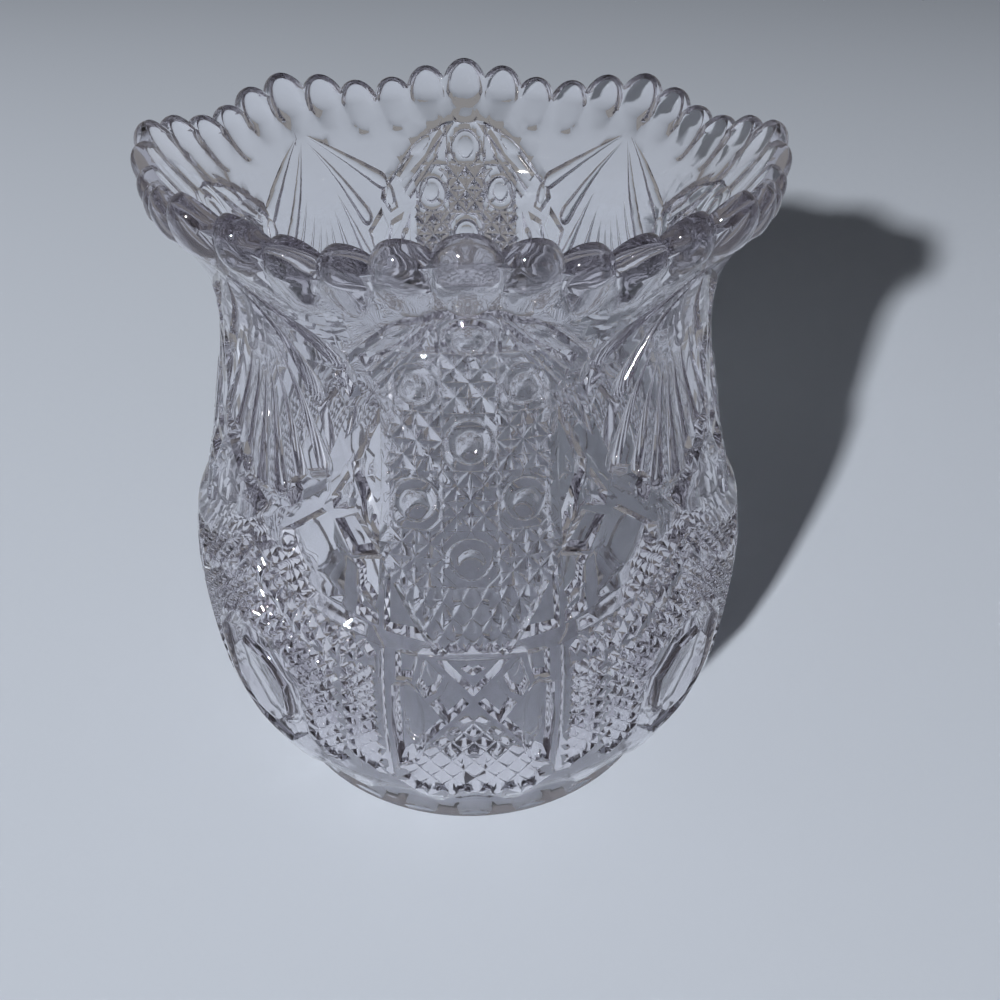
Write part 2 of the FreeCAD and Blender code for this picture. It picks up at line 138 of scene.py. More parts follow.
def keep_as_cutter(piece):
    for home in list(piece.users_collection):
        home.objects.unlink(piece)
    cutters.objects.link(piece)


# Segments round and rings of the ball, and segments round the gouge.
BALL_SEGMENTS, BALL_RINGS, GOUGE_SEGMENTS = 20, 12, 14
# How far each step of the gouge's round end reaches, and what width it leaves.
GOUGE_END = ((0.045, 0.93), (0.04, 0.78), (0.025, 0.5))
# A dimple is the foot of a ball. Its centre is this many depths up, and its width and height are
# larger than the dimple's by these shares.
DIMPLE_RAISE = 1.5
DIMPLE_WIDTH_SHARE = 0.8
DIMPLE_DEPTH_SHARE = 0.4
# How far a facet's cutter stands up over the surface that it cuts.
FACET_RISE = 4
# The cross product of two lines under which they count as parallel.
PARALLEL = 1e-9
# Longer than any line of a crosshatch.
FAR = 200


def add_wheel_bar():
    """A square bar on its edge, one unit long: what a cutting wheel takes from the glass."""
    bpy.ops.mesh.primitive_cylinder_add(vertices=4, radius=1, depth=1, rotation=(0, pi / 2, 0))
    settle()
    return bpy.context.object


def add_ball():
    bpy.ops.mesh.primitive_uv_sphere_add(segments=BALL_SEGMENTS, ring_count=BALL_RINGS,
                                         radius=1)
    return bpy.context.object


def add_gouge():
    """A round gouge: it starts from a point at x = 0 and ends in a round end at x = 1."""
    bpy.ops.mesh.primitive_cone_add(vertices=GOUGE_SEGMENTS, radius1=0, radius2=1, depth=1,
                                    location=(0.5, 0, 0), rotation=(0, pi / 2, 0))
    settle()
    gouge = bpy.context.object
    bpy.ops.object.mode_set(mode="EDIT")
    bpy.ops.mesh.select_all(action="DESELECT")
    bpy.ops.object.mode_set(mode="OBJECT")
    for face in gouge.data.polygons:
        face.select = face.normal.x > 0.9
    bpy.ops.object.mode_set(mode="EDIT")
    for reach, width in GOUGE_END:
        bpy.ops.mesh.extrude_region_move(TRANSFORM_OT_translate={"value": (reach, 0, 0)})
        bpy.ops.transform.resize(value=(1, width, width))
    bpy.ops.object.mode_set(mode="OBJECT")
    return gouge


wheel_bar = add_wheel_bar()
ball = add_ball()
gouge = add_gouge()


def use_cutter(model, place, turn, size):
    """Puts a copy of a cutter on the flat blank."""
    copy = model.copy()
    copy.data = model.data.copy()
    copy.matrix_world = (Matrix.Translation(place) @ Matrix.Rotation(turn, 4, "Z")
                         @ Matrix.Diagonal((*size, 1)))
    cutters.objects.link(copy)


def groove(start, end, width=1.0, depth=0.5, level=UPPER, reach=0.0):
    """A straight V groove between two points of the flat blank."""
    dx, dy = end[0] - start[0], end[1] - start[1]
    length = hypot(dx, dy) + 2 * reach
    middle = ((start[0] + end[0]) / 2, (start[1] + end[1]) / 2, level)
    use_cutter(wheel_bar, middle, atan2(dy, dx), (length, width / 2, depth))


def groove_along(points, width=1.0, depth=0.5, level=UPPER):
    """Grooves from point to point, each a little longer so that they meet at the corners."""
    for start, end in zip(points, points[1:]):
        groove(start, end, width, depth, level, reach=width / 6)


def dimple(place, half_x, half_y, depth, level=UPPER, turn=0.0):
    """A shallow round or oval hollow."""
    use_cutter(ball, (*place, level + DIMPLE_RAISE * depth), radians(turn),
               (half_x / DIMPLE_WIDTH_SHARE, half_y / DIMPLE_WIDTH_SHARE,
                depth / DIMPLE_DEPTH_SHARE))


def flute(tip, end, width, depth, level=UPPER):
    """A round gouge cut that deepens and widens from its tip to its end."""
    dx, dy = end[0] - tip[0], end[1] - tip[1]
    use_cutter(gouge, (*tip, level), atan2(dy, dx), (hypot(dx, dy), width / 2, depth))


def inset(points, distance):
    """A polygon's corners moved in by a distance. The corners run anticlockwise."""
    moved = []
    for before, here, after in zip(points[-1:] + points[:-1], points, points[1:] + points[:1]):
        arriving = (Vector(here) - Vector(before)).normalized()
        leaving = (Vector(after) - Vector(here)).normalized()
        normal_in = Vector((-arriving.y, arriving.x))
        normal_out = Vector((-leaving.y, leaving.x))
        mitre = (normal_in + normal_out) * distance / (1 + normal_in.dot(normal_out))
        moved.append(Vector(here) + mitre)
    return moved


def anticlockwise(points):
    area = sum(a[0] * b[1] - a[1] * b[0] for a, b in zip(points, points[1:] + points[:1]))
    return points if area > 0 else points[::-1]


def facet(points, depth, spread, level=UPPER, tilt=(0, 0)):
    """Cuts a flat facet with sloping sides. A tilt lowers its floor towards +x or +y."""
    points = anticlockwise([tuple(point) for point in points])
    floor_points = inset(points, spread)
    centre = sum(floor_points, Vector((0, 0))) / len(points)
    select_none()
    bpy.ops.mesh.primitive_circle_add(vertices=len(points), radius=1, fill_type="NGON")
    piece = bpy.context.object
    for corner, point in zip(piece.data.vertices, floor_points):
        drop_here = depth + tilt[0] * (point.x - centre.x) + tilt[1] * (point.y - centre.y)
        corner.co = (point.x, point.y, level - drop_here)
    bpy.ops.object.mode_set(mode="EDIT")
    bpy.ops.mesh.select_all(action="SELECT")
    bpy.ops.mesh.extrude_region_move()
    bpy.ops.object.mode_set(mode="OBJECT")
    for corner in piece.data.vertices:
        if corner.select:
            nearest = min(range(len(points)),
                          key=lambda i: (floor_points[i] - Vector(corner.co[:2])).length)
            corner.co = (*points[nearest], level)
    bpy.ops.object.mode_set(mode="EDIT")
    bpy.ops.mesh.extrude_region_move(TRANSFORM_OT_translate={"value": (0, 0, FACET_RISE)})
    bpy.ops.mesh.select_all(action="SELECT")
    bpy.ops.mesh.normals_make_consistent(inside=False)
    bpy.ops.object.mode_set(mode="OBJECT")
    keep_as_cutter(piece)


def clipped(start, end, outline):
    """The parts of a line that lie inside an outline."""
    line = Vector(end) - Vector(start)
    crossings = []
    for a, b in zip(outline, outline[1:] + outline[:1]):
        edge = Vector(b) - Vector(a)
        cross = line.x * edge.y - line.y * edge.x
        if abs(cross) < PARALLEL:
            continue
        gap = Vector(a) - Vector(start)
        along = (gap.x * edge.y - gap.y * edge.x) / cross
        share = (gap.x * line.y - gap.y * line.x) / cross
        if 0 <= share < 1 and 0 <= along <= 1:
            crossings.append(along)
    crossings.sort()
    return [(Vector(start) + line * low, Vector(start) + line * high)
            for low, high in zip(crossings[::2], crossings[1::2])]


def crosshatch(outline, turns, pitch, width, depth, level, origin=(0, 0)):
    """Fills an outline with crossing grooves, which leave rows of points between them."""
    for turn in turns:
        along = Vector((cos(radians(turn)), sin(radians(turn))))
        across = Vector((-along.y, along.x))
        offsets = [(Vector(point) - Vector(origin)).dot(across) for point in outline]
        first, last = ceil(min(offsets) / pitch), int(max(offsets) // pitch)
        for index in range(first, last + 1):
            middle = Vector(origin) + across * pitch * index
            for start, end in clipped(middle - along * FAR, middle + along * FAR, outline):
                if (end - start).length > width:
                    groove(start, end, width, depth, level)


# What is cut above the shoulder ledge ----------------------------------------------------------

# Heights of the lines across the panel, and angles of its outer and inner upright lines.
ROWS = (70.7, 80.3, 90.0, 99.2, 109.2)
COLUMN_EDGE = 15.4
CELL_EDGE = 5.2
BUTTONS = ((0, 112.2), (10.3, 103.6), (0, 94.4), (10.3, 84.9), (0, 75.4))
STARS = ((10.3, 94.6), (10.3, 75.5), (0, 104.2), (0, 85.1))
# Half the width and height of a starred cell.
STAR_X, STAR_Y = 5.0, 4.7
# A degree is shorter than a millimetre on the panel, so round things are drawn wider by this.
ROUND_IN_DEGREES = 1.15
ARCH = [(-0.1, 118.2), (5, 117.7), (10, 116.3), (15, 113.8), (19, 111.0), (23.4, 107.8)]


def cut_upper_ground():
    """Lowers all that is above the ledge, so the belly stands out below it."""
    facet([(BEFORE, 59.3)] + LEDGE[1:] + [(BEYOND, 71.6), (BEYOND, ABOVE), (BEFORE, ABOVE)],
          -UPPER, 1.3, level=0)


def cut_ring(place, size, width, level):
    """A round groove."""
    select_none()
    bpy.ops.mesh.primitive_torus_add(major_radius=size, minor_radius=width / 2, major_segments=28,
                                     minor_segments=4)
    ring = bpy.context.object
    ring.location = (*place, level)
    ring.scale = (ROUND_IN_DEGREES, 1, 1)
    settle()
    keep_as_cutter(ring)


def cut_button(place):
    """A round button: a hollow eye in a ring, with a groove round it and a cut at each corner."""
    x, y = place
    cut_ring(place, 3.5, 1.5, UPPER)
    dimple(place, 2.5, 2.2, 0.8)
    for side in (-1, 1):
        for end in (-1, 1):
            groove((x + side * 5.2, y + end * 2.6), (x + side * 2.8, y + end * 4.8), 1.4, 0.6)


def cut_star(place):
    """A starred cell: slanting cuts half a cell apart, with upright and level ones between."""
    x, y = place
    left, right, foot, top = x - STAR_X, x + STAR_X, y - STAR_Y, y + STAR_Y
    cell = [(left, foot), (right, foot), (right, top), (left, top)]
    crosshatch(cell, (43, 137), 3.5, 2.2, 1.0, UPPER, origin=place)
    for share in (-0.5, 0, 0.5):
        width, depth = (1.3, 0.6) if share else (1.7, 0.85)
        groove((left, y + share * STAR_Y), (right, y + share * STAR_Y), width, depth)
        groove((x + share * STAR_X, foot), (x + share * STAR_X, top), width, depth)


def cut_button_panel():
    """The tall panel under the arch: buttons and starred cells by turns, three cells wide."""
    for height in ROWS:
        groove((-COLUMN_EDGE, height), (COLUMN_EDGE, height), 1.2, 0.6)
    groove((CELL_EDGE, 116.0), (CELL_EDGE, 59.0), 1.2, 0.6)
    for place in BUTTONS:
        cut_button(place)
    for place in STARS:
        cut_star(place)
    side = COLUMN_EDGE - 0.9
    groove_along([(5.4, 115.6), (side, 102.0), (side, 73.8), (6.3, 59.3)], 1.1, 0.55)
    for start, end in (((CELL_EDGE, 99.2), (12.4, 106.2)), ((9, 109.3), (14.3, 103)),
                       ((CELL_EDGE, 109.2), (7.6, 106.4)), ((CELL_EDGE, 99.2), (14.4, 108.0))):
        groove(start, end, 1.0, 0.45)
    taper = [(-13.9, 70.7), (13.9, 70.7), (7.0, 60.2), (-7.0, 60.2)]
    crosshatch(taper, (60, 120), 3.0, 2.4, 1.1, UPPER, origin=(0, 65))
    facet([(15.7, 73.4), (15.7, 62.3), (8.2, 61.1)], 1.7, 0.6, tilt=(-0.1, 0))


def cut_arch():
    """The broad line of the arch, and the long slanted cuts inside it."""
    groove_along([(x * 0.98, z - 0.6) for x, z in ARCH], 2.4, 1.1)
    facet([(6.4, 115.8), (11.6, 114.0), (20.6, 107.6), (19.2, 106.2), (11, 111.0)], 0.9, 0.5,
          tilt=(0, -0.2))
    groove((6.2, 114.9), (18.6, 104.9), 1.8, 0.9)
    groove((8.2, 111.0), (17.2, 103.2), 1.6, 0.8)
    dimple((12.6, 112.7), 2.9, 1.2, 0.6, level=UPPER - 0.5, turn=-27)


def cut_side_facets():
    """Facets between the panel and the fan, with ribbons left standing between them."""
    # the leaf and the diamonds in the corner of the arch and the fan
    facet([(24.1, 107.3), (26.0, 103.5), (23.1, 100.3), (20.6, 101.2), (21.6, 104.8)], 1.6, 1.0)
    dimple((23.2, 103.8), 1.5, 2.3, 0.7, level=UPPER - 1.2, turn=-15)
    facet([(26.0, 101.8), (30.6, 97.4), (27.6, 90.2), (23.8, 97.6)], 1.8, 0.8, tilt=(-0.15, 0))
    facet([(18.9, 100.2), (23.3, 98.6), (24.4, 93.4), (21.6, 95.8)], 2.0, 0.6, tilt=(-0.3, 0.1))
    # the long hollow facet beside the panel, inside the bent ribbon
    facet([(17.0, 100.0), (22.9, 89.9), (22.2, 87.6), (16.9, 76.8)], 2.0, 0.9, tilt=(-0.2, 0))
    dimple((18.8, 88.6), 1.7, 6.6, 0.9, level=UPPER - 1.3)
    # the kite with a round hollow under the crossing
    facet([(21.2, 84.8), (23.5, 88.6), (26.9, 83.8), (26.3, 81.6), (22.0, 82.6)], 1.5, 0.8)
    dimple((23.8, 84.4), 1.4, 1.9, 0.6, level=UPPER - 1.2)
    # the mirror-like band that bends down beside the panel
    facet([(21.9, 81.4), (26.0, 80.0), (22.2, 74.6), (16.6, 75.6)], 2.3, 0.5, tilt=(-0.25, 0.1))
    facet([(16.5, 75.0), (22.0, 74.0), (20.7, 72.2), (20.5, 69.2), (17.6, 65.8), (16.4, 70.0)],
          2.4, 0.5, tilt=(-0.3, 0))
    facet([(20.6, 68.6), (21.1, 64.4), (16.6, 62.8), (16.6, 65.2)], 1.7, 0.6)
    # the large smooth kite over the ledge
    facet([(21.6, 73.0), (26.6, 80.2), (28.8, 81.2), (38.2, 74.6), (36.4, 70.6), (29.4, 66.8),
           (21.6, 64.6)], 1.2, 1.3, tilt=(0.03, 0.03))
    # smooth facets between the ribbon and the fan
    facet([(28.4, 84.4), (27.6, 88.4), (33.8, 86.4), (38.4, 82.4), (36.2, 79.4)], 1.7, 1.2,
          tilt=(0, -0.25))
    facet([(38.6, 78.6), (41.0, 80.6), (BEYOND, 80.6), (BEYOND, 74.4), (44.6, 74.4)], 1.5, 1.2,
          tilt=(0, -0.15))


# Where each flute of the fan starts and ends, with its width and depth. The fan's middle is at 45.
FAN_FLUTES = [((44.6, 117.6), (25.4, 107.0), 3.6, 1.6), ((44.6, 116.4), (31.0, 100.6), 3.8, 1.8),
              ((39.8, 106.4), (28.8, 88.6), 3.4, 1.6), ((41.6, 103.6), (34.2, 85.4), 3.4, 1.7),
              ((43.4, 102.0), (39.4, 82.4), 3.6, 1.8), ((45.0, 101.0), (45.0, 80.0), 3.6, 1.8)]


def cut_fan():
    """Flutes that spread from the fan's tip, each with a rounded end."""
    for start, end, width, depth in FAN_FLUTES:
        flute(start, end, width, depth)


# What is cut below the shoulder ledge ----------------------------------------------------------

# The lower edge of the diamond border that hangs under the ledge.
BORDER_FOOT = [(17.0, 57.2), (24.0, 56.3), (30.0, 57.3), (36.0, 60.9), (44.0, 66.2), (BEYOND, 71)]
LENS_HEIGHT = 38.0
FOOT_FLUTE_ANGLES = (0, 15, 30, 45)


def cut_diamond_border():
    """Rows of diamond points between the ledge and the line under it."""
    outline = ([(17.2, 60.0)] + [(x, z - 1.1) for x, z in LEDGE[3:]]
               + [(BEYOND, 70.5)] + [(x, z + 0.7) for x, z in BORDER_FOOT[::-1]])
    crosshatch(outline, (48, 132), 2.3, 1.9, 1.05, 0, origin=(HALF_PANEL, 58.6))


def cut_diamond_fields():
    """Diamond points on both sides of the rib between the upright and the lens."""
    near = [(17.3, 56.3), (22.6, 55.4), (22.6, 31.0), (17.3, 29.0)]
    far = [(24.2, 55.2), (30.2, 56.2), (36.4, 59.8), (45, 65.6), (BEYOND, 65.6), (BEYOND, 54.6),
           (41.0, 53.8), (35.4, 50.6), (32.4, 45.4), (31.2, 38.0), (31.8, 30.0), (24.2, 27.5)]
    for outline in (near, far):
        crosshatch(outline, (45, 135), 2.2, 1.8, 1.0, 0, origin=(HALF_PANEL, 50))


def cut_crossed_ribs():
    """Leaves only an X of ribs and the uprights standing between smooth facets and hollows."""
    # the large facet beside the crossing, sloping down to the upright
    facet([(13.9, 53.2), (10.2, 53.4), (4.7, 45.2), (10.9, 35.6), (13.9, 31.6)], 2.2, 0.7, level=0,
          tilt=(0.12, 0))
    dimple((11.2, 43.4), 2.5, 8.6, 0.9, level=-1.9)
    # facets and an oval between the arms, the upright and the ledge
    facet([(0.7, 50.4), (4.2, 55.2), (5.4, 51.9), (7.4, 50.0), (4.6, 44.9)], 2.0, 0.7, level=0,
          tilt=(0.15, 0))
    facet([(8.1, 59.3), (5.0, 55.9), (6.2, 52.6), (8.3, 51.2), (9.6, 53.9)], 1.7, 0.6, level=0)
    dimple((7.4, 55.6), 0.9, 2.6, 0.8, level=-1.2, turn=-15)
    facet([(9.1, 59.5), (13.1, 60.1), (13.1, 54.5), (10.3, 54.5)], 1.8, 0.6, level=0,
          tilt=(-0.15, 0))
    # the three-sided facet over the crossing, with a small diamond in it
    facet([(-6.2, 59.2), (6.2, 59.2), (0, 52.0)], 1.2, 0.6, level=0)
    facet([(0, 58.2), (-2.3, 56.7), (0, 55.2), (2.3, 56.7)], 1.0, 0.6, level=-1.2)
    # the double line of the upright
    groove_along([(15.2, 60.2), (15.2, 28.0)], 0.7, 0.4, level=0)
    # the field of points under the crossing, round a button
    field = [(0, 49.0), (12.2, 31.8), (12.2, 24.6), (-12.2, 24.6), (-12.2, 31.8)]
    crosshatch(field, (54, 126), 3.3, 2.9, 1.2, 0, origin=(0, 38.6))
    select_none()
    bpy.ops.mesh.primitive_torus_add(major_radius=3.3, minor_radius=1.0, major_segments=24,
                                     minor_segments=4, location=(0, 35.0, 0))
    keep_as_cutter(bpy.context.object)
    dimple((0, 35.0), 2.1, 2.1, 0.9, level=0)


def cut_lens():
    """The long lens between the fields: an eight-sided channel round a hollow oval."""
    select_none()
    bpy.ops.mesh.primitive_torus_add(major_radius=1, minor_radius=0.24, major_segments=8,
                                     minor_segments=10, rotation=(0, 0, pi / 8))
    settle()
    channel = bpy.context.object
    channel.location = (HALF_PANEL, LENS_HEIGHT, 0)
    channel.scale = (10.8, 13.0, 8.0)
    settle()
    keep_as_cutter(channel)
    dimple((HALF_PANEL, LENS_HEIGHT), 7.4, 8.8, 0.6, level=0)


def cut_foot_flutes():
    """Broad flutes round the underside of the belly, down to the foot."""
    for angle in FOOT_FLUTE_ANGLES:
        use_cutter(ball, (angle, 14.5, 1.2), 0, (7.9, 8.6, 3.6))
        dimple((angle, 3.0), 5.6, 4.6, 1.0, level=0)


# Putting the vase together ----------------------------------------------------------------------

# Degrees and millimetres between the lines that the flat pieces bend along.
STEP_ROUND = 3
STEP_UP = 3
BLANK_TOP = 132
BLANK_FOOT = 0.6
# Relief of the blank's back and of the liner's front, which lies inside the blank.
BLANK_BACK = -5.0
LINER_FRONT = -4.4
# Gaps under which corners are one: after the cutting, between mirrored and repeated pieces,
# beside the two joining planes, where the ring closes, and in a turned piece.
WELD_CUTS, WELD_COPIES, WELD_SIDES, WELD_RING, WELD_TURNED = 0.003, 0.0001, 0.0005, 0.0005, 0.001
# Degrees under which neighbouring faces are one flat face.
FLAT = 0.2
# Heights of the turned inside where it curves most, and the outline of the foot from outside in.
LOW_HEIGHTS = [10.0, 10.6, 11.4, 12.6, 14.2, 16.4, 19, 22, 26]
FOOT = [(42.0, 1.0), (46.2, 1.0), (46.5, 0.5), (46.2, 0), (39.2, 0), (38.0, 1.2), (37.4, 3.0),
        (20, 3.4), (0, 3.4)]
# The lobed edge over half a panel, and a height and a depth that clear the blank over it.
EDGE = [(0, 125.6), (4.5, 125.3), (9, 124.5), (13.5, 123.5), (18, 122.4), (20.5, 121.6),
        (22.5, 121.3), (24.5, 121.6), (27, 122.4), (31.5, 123.5), (36, 124.5), (40.5, 125.3),
        (45, 125.6)]
OVER_EDGE = 136
CROWN_FRONT, CROWN_DEPTH = 6, 20


def bisect(piece, place, normal):
    """Adds a line of edges where a plane crosses a piece, so that it can bend there."""
    only(piece)
    bpy.ops.object.mode_set(mode="EDIT")
    bpy.ops.mesh.select_all(action="SELECT")
    bpy.ops.mesh.bisect(plane_co=place, plane_no=normal, threshold=WELD_COPIES)
    bpy.ops.object.mode_set(mode="OBJECT")


def open_sides(piece):
    """Removes the faces in the two planes where the flat piece meets its copies."""
    only(piece)
    bpy.ops.object.mode_set(mode="EDIT")
    bpy.ops.mesh.select_mode(type="FACE")
    bpy.ops.mesh.select_all(action="DESELECT")
    bpy.ops.object.mode_set(mode="OBJECT")
    corners = piece.data.vertices
    for corner in corners:
        for side in (0, HALF_PANEL):
            if abs(corner.co.x - side) < WELD_SIDES:
                corner.co.x = side
    for face in piece.data.polygons:
        sides = {corners[index].co.x for index in face.vertices}
        face.select = sides == {0.0} or sides == {float(HALF_PANEL)}
    bpy.ops.object.mode_set(mode="EDIT")
    bpy.ops.mesh.delete(type="FACE")
    bpy.ops.object.mode_set(mode="OBJECT")


def bend_ring(piece):
    """Mirrors and repeats a flat piece and bends it into a closed ring round the axis."""
    only(piece)
    bpy.ops.object.mode_set(mode="EDIT")
    bpy.ops.mesh.select_all(action="SELECT")
    bpy.ops.mesh.remove_doubles(threshold=WELD_CUTS)
    bpy.ops.mesh.dissolve_limited(angle_limit=radians(FLAT))
    bpy.ops.object.mode_set(mode="OBJECT")
    open_sides(piece)
    for angle in range(STEP_ROUND, HALF_PANEL, STEP_ROUND):
        bisect(piece, (angle, 0, 0), (1, 0, 0))
    for height in range(STEP_UP, BLANK_TOP, STEP_UP):
        bisect(piece, (0, height, 0), (0, 1, 0))
    finish_with(piece, "MIRROR", use_axis=(True, False, False), merge_threshold=WELD_COPIES)
    finish_with(piece, "ARRAY", count=PANELS, use_relative_offset=False, use_constant_offset=True,
                constant_offset_displace=(2 * HALF_PANEL, 0, 0), use_merge_vertices=True,
                merge_threshold=WELD_COPIES)
    only(piece)
    bpy.ops.object.mode_set(mode="EDIT")
    bpy.ops.mesh.select_mode(type="VERT")
    bpy.ops.mesh.select_all(action="DESELECT")
    bpy.ops.object.mode_set(mode="OBJECT")
    for corner in piece.data.vertices:
        angle, height, relief = corner.co
        corner.select = min(abs(angle + HALF_PANEL), abs(angle - 360 + HALF_PANEL)) < WELD_COPIES
        radius = radius_at(OUTSIDE, height) + relief
        corner.co = (radius * sin(radians(angle)), -radius * cos(radians(angle)), height)
    bpy.ops.object.mode_set(mode="EDIT")
    bpy.ops.mesh.remove_doubles(threshold=WELD_RING)
    bpy.ops.mesh.select_all(action="SELECT")
    bpy.ops.mesh.normals_make_consistent(inside=False)
    bpy.ops.object.mode_set(mode="OBJECT")


def make_cut_blank():
    """The outside of the vase with all its cutting, bent into a ring."""
    cut_upper_ground()
    cut_button_panel()
    cut_arch()
    cut_side_facets()
    cut_fan()
    cut_diamond_border()
    cut_diamond_fields()
    cut_crossed_ribs()
    cut_lens()
    cut_foot_flutes()
    select_none()
    bpy.ops.mesh.primitive_cube_add(size=1)
    blank = bpy.context.object
    blank.scale = (HALF_PANEL, BLANK_TOP - BLANK_FOOT, -BLANK_BACK)
    blank.location = (HALF_PANEL / 2, (BLANK_TOP + BLANK_FOOT) / 2, BLANK_BACK / 2)
    settle()
    finish_with(blank, "BOOLEAN", operation="DIFFERENCE", operand_type="COLLECTION",
                collection=cutters, solver="MANIFOLD")
    for piece in [*cutters.objects, wheel_bar, ball, gouge]:
        drop(piece)
    bend_ring(blank)
    return blank


def spin_section(section):
    """Turns a closed outline of radii and heights round the axis."""
    select_none()
    bpy.ops.mesh.primitive_circle_add(vertices=len(section), radius=1)
    piece = bpy.context.object
    for corner, (radius, height) in zip(piece.data.vertices, section):
        corner.co = (radius, 0, height)
    bpy.ops.object.mode_set(mode="EDIT")
    bpy.ops.mesh.select_all(action="SELECT")
    bpy.ops.mesh.spin(steps=360 // STEP_ROUND, angle=2 * pi, center=(0, 0, 0), axis=(0, 0, 1))
    bpy.ops.mesh.select_all(action="SELECT")
    bpy.ops.mesh.remove_doubles(threshold=WELD_TURNED)
    bpy.ops.mesh.delete_loose()
    bpy.ops.mesh.select_all(action="SELECT")
    bpy.ops.mesh.normals_make_consistent(inside=False)
    bpy.ops.object.mode_set(mode="OBJECT")
    return piece


def make_liner():
    """The smooth inside, the floor and the foot, turned round the axis."""
    inside = [(radius_at(INSIDE, z), z) for z in LOW_HEIGHTS + list(range(30, BLANK_TOP, 3))]
    front = [(radius_at(OUTSIDE, z) + LINER_FRONT, z) for z in range(BLANK_TOP - 1, 1, -4)]
    return spin_section([(0, LOW_HEIGHTS[0]), (20, LOW_HEIGHTS[0])] + inside + front + FOOT)


def make_crown_cutter():
    """What is above the lobed edge, as a ring."""
    outline = EDGE + [(HALF_PANEL, OVER_EDGE), (0, OVER_EDGE)]
    select_none()
    bpy.ops.mesh.primitive_circle_add(vertices=len(outline), radius=1, fill_type="NGON")
    cutter = bpy.context.object
    for corner, point in zip(cutter.data.vertices, outline):
        corner.co = (*point, CROWN_FRONT)
    bpy.ops.object.mode_set(mode="EDIT")
    bpy.ops.mesh.select_all(action="SELECT")
    bpy.ops.mesh.extrude_region_move(TRANSFORM_OT_translate={"value": (0, 0, -CROWN_DEPTH)})
    bpy.ops.object.mode_set(mode="OBJECT")
    bend_ring(cutter)
    return cutter


# Angle from the lobe's middle, radius, height and share of the full size of each bead of a lobe.
BEADS = {0: (0, 50.0, 123.6, 1.0), 1: (9.2, 49.3, 122.7, 0.95), 2: (17.9, 48.6, 121.2, 0.91)}
# Half a bead's width, thickness and height, how much longer its lower half is, and its lean.
BEAD_HALVES = (4.9, 4.3, 6.4)
BEAD_TAIL = 1.5
BEAD_TILT = 38
BEAD_SEGMENTS, BEAD_RINGS = 28, 18
# Heights between which the tails of the beads are smoothed into the flare, and how much.
BLEND_FROM, BLEND_TO = 116.8, 121.0
BLEND_FACTOR, BLEND_PASSES = 0.5, 14
# How far the plug reaches into the liner's wall, so the beads are trimmed clear of its face.
PLUG_MARGIN = 0.03
# Degrees up to which an edge is shaded smooth.
SMOOTH_ANGLE = 50


def make_bead(radius, height, share):
    """A bead that leans out along the flare, with a longer lower end that sinks into the wall."""
    bpy.ops.mesh.primitive_uv_sphere_add(segments=BEAD_SEGMENTS, ring_count=BEAD_RINGS,
                                         radius=share)
    bead = bpy.context.object
    for corner in bead.data.vertices:
        corner.co.z *= BEAD_TAIL if corner.co.z < 0 else 1
    bead.matrix_world = (Matrix.Translation((0, -radius, height))
                         @ Matrix.Rotation(radians(BEAD_TILT), 4, "X")
                         @ Matrix.Diagonal((*BEAD_HALVES, 1)))
    return bead


def make_beads():
    """A bead at each place of each lobe."""
    made = []
    for lobe in range(LOBES):
        for step in range(-2, 3):
            angle, radius, height, share = BEADS[abs(step)]
            select_none()
            bead = make_bead(radius, height, share)
            turn = radians(lobe * 360 / LOBES + (angle if step > 0 else -angle))
            bead.matrix_world = Matrix.Rotation(turn, 4, "Z") @ bead.matrix_world
            made.append(bead)
    return made


def blend_beads(piece):
    """Smooths the outside below the beads, where their tails run out into the flare."""
    only(piece)
    bpy.ops.object.mode_set(mode="EDIT")
    bpy.ops.mesh.select_mode(type="VERT")
    bpy.ops.mesh.select_all(action="DESELECT")
    bpy.ops.object.mode_set(mode="OBJECT")
    for corner in piece.data.vertices:
        x, y, height = corner.co
        corner.select = (BLEND_FROM < height < BLEND_TO
                         and hypot(x, y) > radius_at(OUTSIDE, height) + UPPER - 0.05)
    bpy.ops.object.mode_set(mode="EDIT")
    bpy.ops.mesh.vertices_smooth(factor=BLEND_FACTOR, repeat=BLEND_PASSES)
    bpy.ops.object.mode_set(mode="OBJECT")


def make_plug():
    """What the smooth inside leaves open at the mouth, so the beads end flush with it."""
    low, top = 100, INSIDE[-1][0]
    heights = list(range(low, 128, 3)) + [top, OVER_EDGE]
    section = [(radius_at(INSIDE, min(z, top)) + PLUG_MARGIN + max(0, z - top), z)
               for z in heights]
    return spin_section([(0, low)] + section + [(0, OVER_EDGE)])


def combine(piece, others, operation):
    """Joins or cuts a piece with others, which are then removed."""
    group = bpy.data.collections.new("operands")
    bpy.context.scene.collection.children.link(group)
    for other in others:
        group.objects.link(other)
    finish_with(piece, "BOOLEAN", operation=operation, operand_type="COLLECTION",
                collection=group, solver="MANIFOLD")
    for other in others:
        drop(other)
    bpy.data.collections.remove(group)


def make_vase():
    vase = make_cut_blank()
    combine(vase, [make_liner()], "UNION")
    combine(vase, [make_crown_cutter()], "DIFFERENCE")
    combine(vase, make_beads(), "UNION")
    blend_beads(vase)
    combine(vase, [make_plug()], "DIFFERENCE")
    vase.name = "cut_glass_vase"
    only(vase)
    vase.scale = (MILLIMETRE, MILLIMETRE, MILLIMETRE)
    settle()
    bpy.ops.object.shade_smooth_by_angle(angle=radians(SMOOTH_ANGLE))
    return vase


# Glass, floor, light and camera -----------------------------------------------------------------

CLOTH_COLOUR = (0.50, 0.56, 0.66)
# How strongly the cloth glows for rays through the glass: painted light in place of the light that
# the glass lets through onto the cloth.
PAINTED_GLOW_UNDER_GLASS = 0.14
